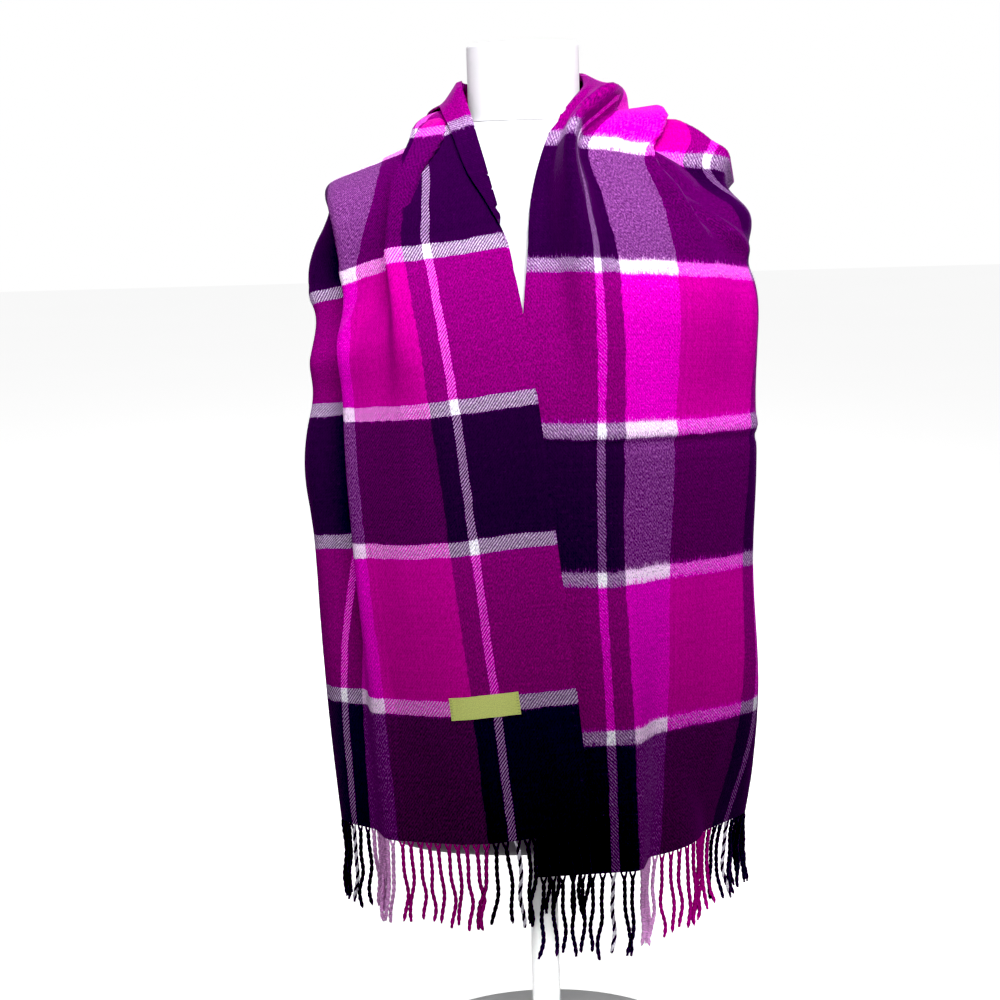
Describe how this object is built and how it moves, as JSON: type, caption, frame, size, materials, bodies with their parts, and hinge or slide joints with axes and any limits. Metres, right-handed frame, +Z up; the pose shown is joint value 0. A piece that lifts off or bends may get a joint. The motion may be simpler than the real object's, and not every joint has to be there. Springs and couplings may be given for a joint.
{
  "type": "wool scarf on a dress form",
  "caption": "Long brushed wool check scarf with twisted fringe, draped round the neck and down the front of a limbless dress form on a round stand.",
  "frame": {"origin": "centre of the stand base's underside, under the form's axis", "axes": "+Z up along the pole and the form's neck, -Y is the front where both ends of the scarf hang, +X to the right as the front is seen"},
  "size_m": [0.4385, 0.3, 1.005],
  "materials": {
    "brushed_wool": "brushed twill with a soft nap, in a magenta, purple and white check",
    "label_tape": "close woven tape, pale yellow green",
    "form_covering": "smooth white jersey, matt",
    "stand_enamel": "white satin enamel"
  },
  "bodies": {
    "root": {"stand_base": "stand_enamel", "stand_pole": "stand_enamel", "form_torso": "form_covering", "form_neck": "form_covering", "scarf_left_front": "brushed_wool", "scarf_nape": "brushed_wool", "scarf_right_front": "brushed_wool", "fringe_left": "brushed_wool", "fringe_right": "brushed_wool", "label": "label_tape"}
  },
  "joints": []
}
